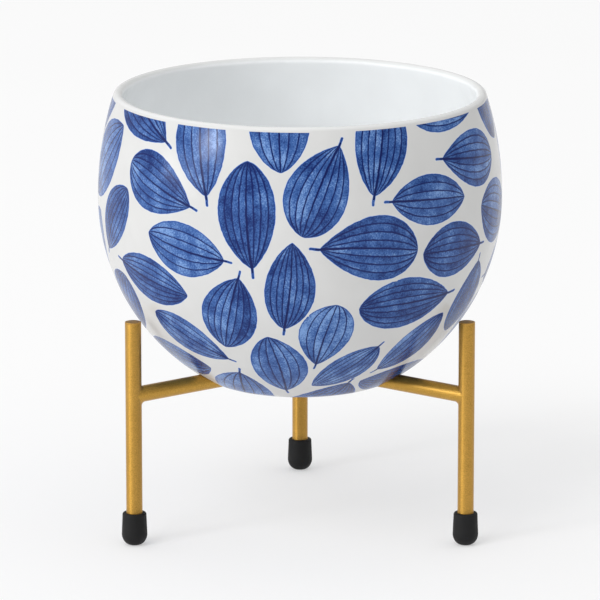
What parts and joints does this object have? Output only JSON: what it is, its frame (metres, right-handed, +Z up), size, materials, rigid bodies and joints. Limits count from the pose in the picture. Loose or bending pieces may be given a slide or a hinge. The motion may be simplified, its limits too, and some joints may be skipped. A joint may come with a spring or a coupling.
{
  "type": "jardiniere on stand",
  "caption": "Round glazed bowl planter with leaf print, resting on a low gold tripod stand of round tube with black rubber feet.",
  "frame": {"origin": "on the floor, on the bowl's upright axis", "axes": "+Z up along the bowl's axis, -Y towards the front, where two of the legs stand"},
  "size_m": [0.25, 0.2507, 0.2733],
  "materials": {
    "glaze": "glossy white glaze with a blue leaf print outside",
    "gold_paint": "satin gold paint with fine speckle",
    "bronze_cap": "dull bronze",
    "rubber": "matte black"
  },
  "bodies": {
    "stand": {"leg_tube_front_left": "gold_paint", "leg_cap_front_left": "bronze_cap", "foot_front_left": "rubber", "arm_front_left": "gold_paint", "weld_lower_front_left": "gold_paint", "weld_upper_front_left": "gold_paint", "leg_tube_front_right": "gold_paint", "leg_cap_front_right": "bronze_cap", "foot_front_right": "rubber", "arm_front_right": "gold_paint", "weld_lower_front_right": "gold_paint", "weld_upper_front_right": "gold_paint", "leg_tube_rear": "gold_paint", "leg_cap_rear": "bronze_cap", "foot_rear": "rubber", "arm_rear": "gold_paint", "weld_lower_rear": "gold_paint", "weld_upper_rear": "gold_paint"},
    "bowl": {"bowl": "glaze"}
  },
  "joints": [
    {"name": "bowl_lift", "type": "slide", "parent": "stand", "child": "bowl", "axis": [0, 0, 1], "range_m": [0, 0.12]}
  ]
}
